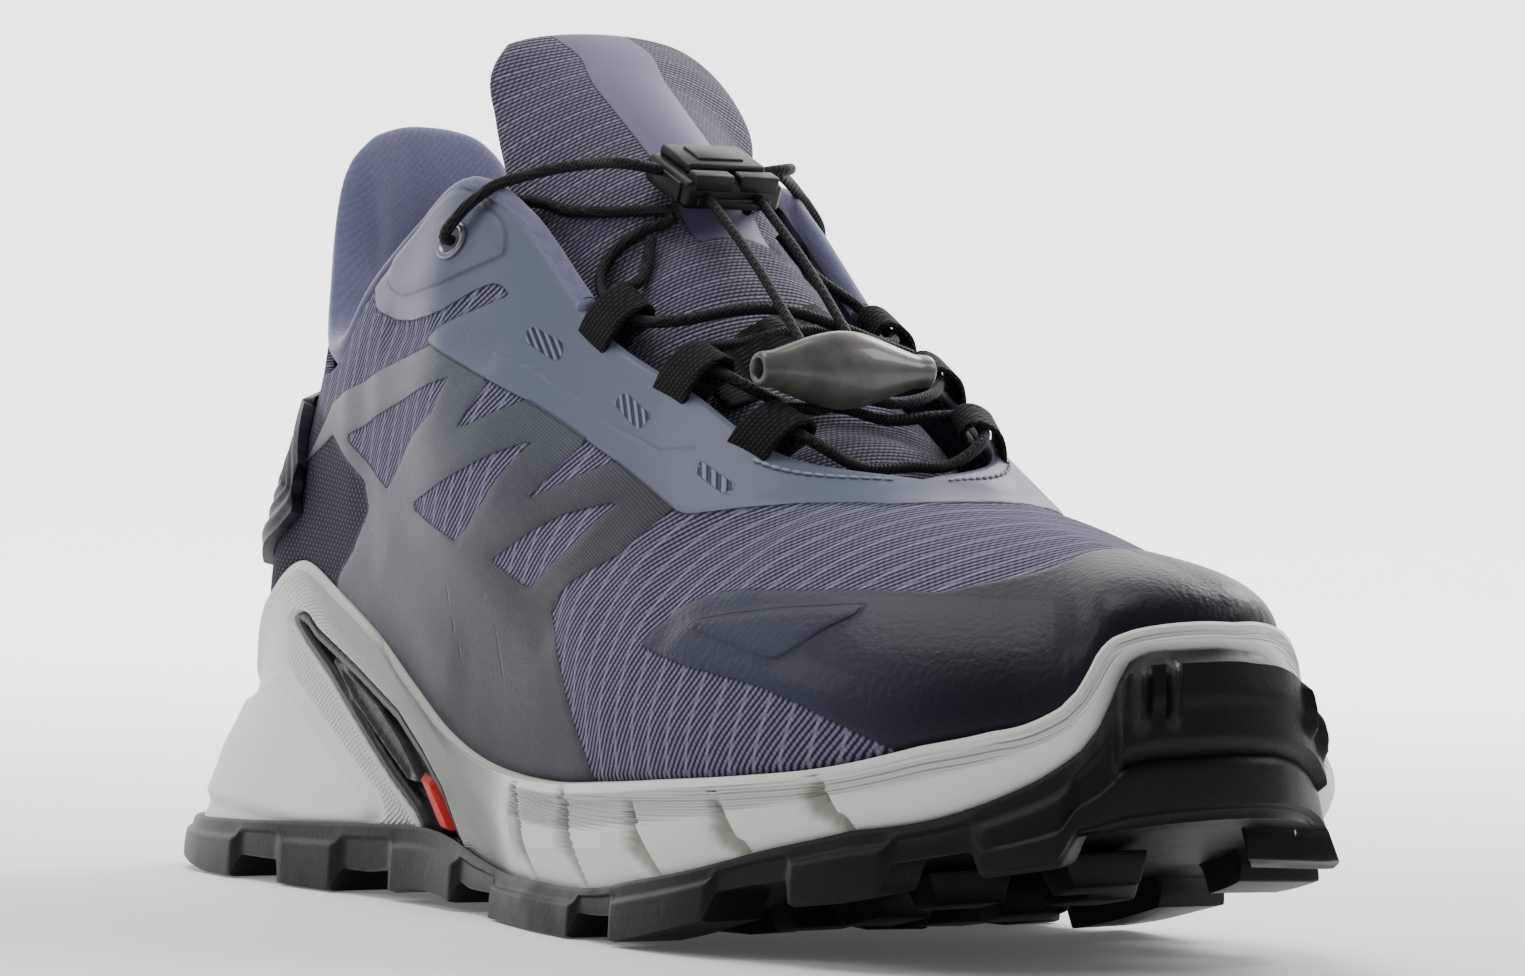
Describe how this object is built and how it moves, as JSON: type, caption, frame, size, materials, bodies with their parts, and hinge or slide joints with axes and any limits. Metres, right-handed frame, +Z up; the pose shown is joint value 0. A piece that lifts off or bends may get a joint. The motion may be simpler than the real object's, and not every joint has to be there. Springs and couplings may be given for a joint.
{
  "type": "trail running shoe",
  "caption": "Low-cut right trail running shoe with lugged rubber outsole, pale foam midsole, textile upper with dark film overlays and a thin pull-lock lace.",
  "frame": {"origin": "centre of the bounding box on the floor, under the middle of the sole, without the free lace cords", "axes": "+X towards the toe, +Y towards the inner side of the foot, +Z up"},
  "size_m": [0.3, 0.1044, 0.1537],
  "materials": {
    "rubber": "matt",
    "foam": "matt foam",
    "frame": "satin",
    "textile": "woven",
    "film": "satin grained film",
    "eyestay": "smooth satin film",
    "lining": "soft knit",
    "knit": "knit",
    "lace": "braided",
    "metal": "painted",
    "toggle": "clouded"
  },
  "bodies": {
    "root": {"outsole": "rubber", "midsole": "foam", "side_frame_lateral": "frame", "side_frame_medial": "frame", "insole": "lining", "upper": "textile", "toe_cap": "film", "side_film_lateral": "film", "side_film_medial": "film", "eyestay": "eyestay", "heel_clip": "frame", "collar_lining": "lining", "tongue": "knit", "loop_lateral_1": "lace", "loop_lateral_2": "lace", "loop_lateral_3": "lace", "loop_medial_1": "lace", "loop_medial_2": "lace", "loop_medial_3": "lace", "eyelet_lateral": "metal", "eyelet_medial": "metal", "lace_crossings": "lace", "lace_top_lateral": "lace", "lace_top_medial": "lace", "lace_inner_lateral": "lace", "lace_inner_medial": "lace", "lace_lock": "lace", "pull_toggle": "toggle", "pull_cord_lateral": "lace", "pull_cord_medial": "lace"}
  },
  "joints": []
}
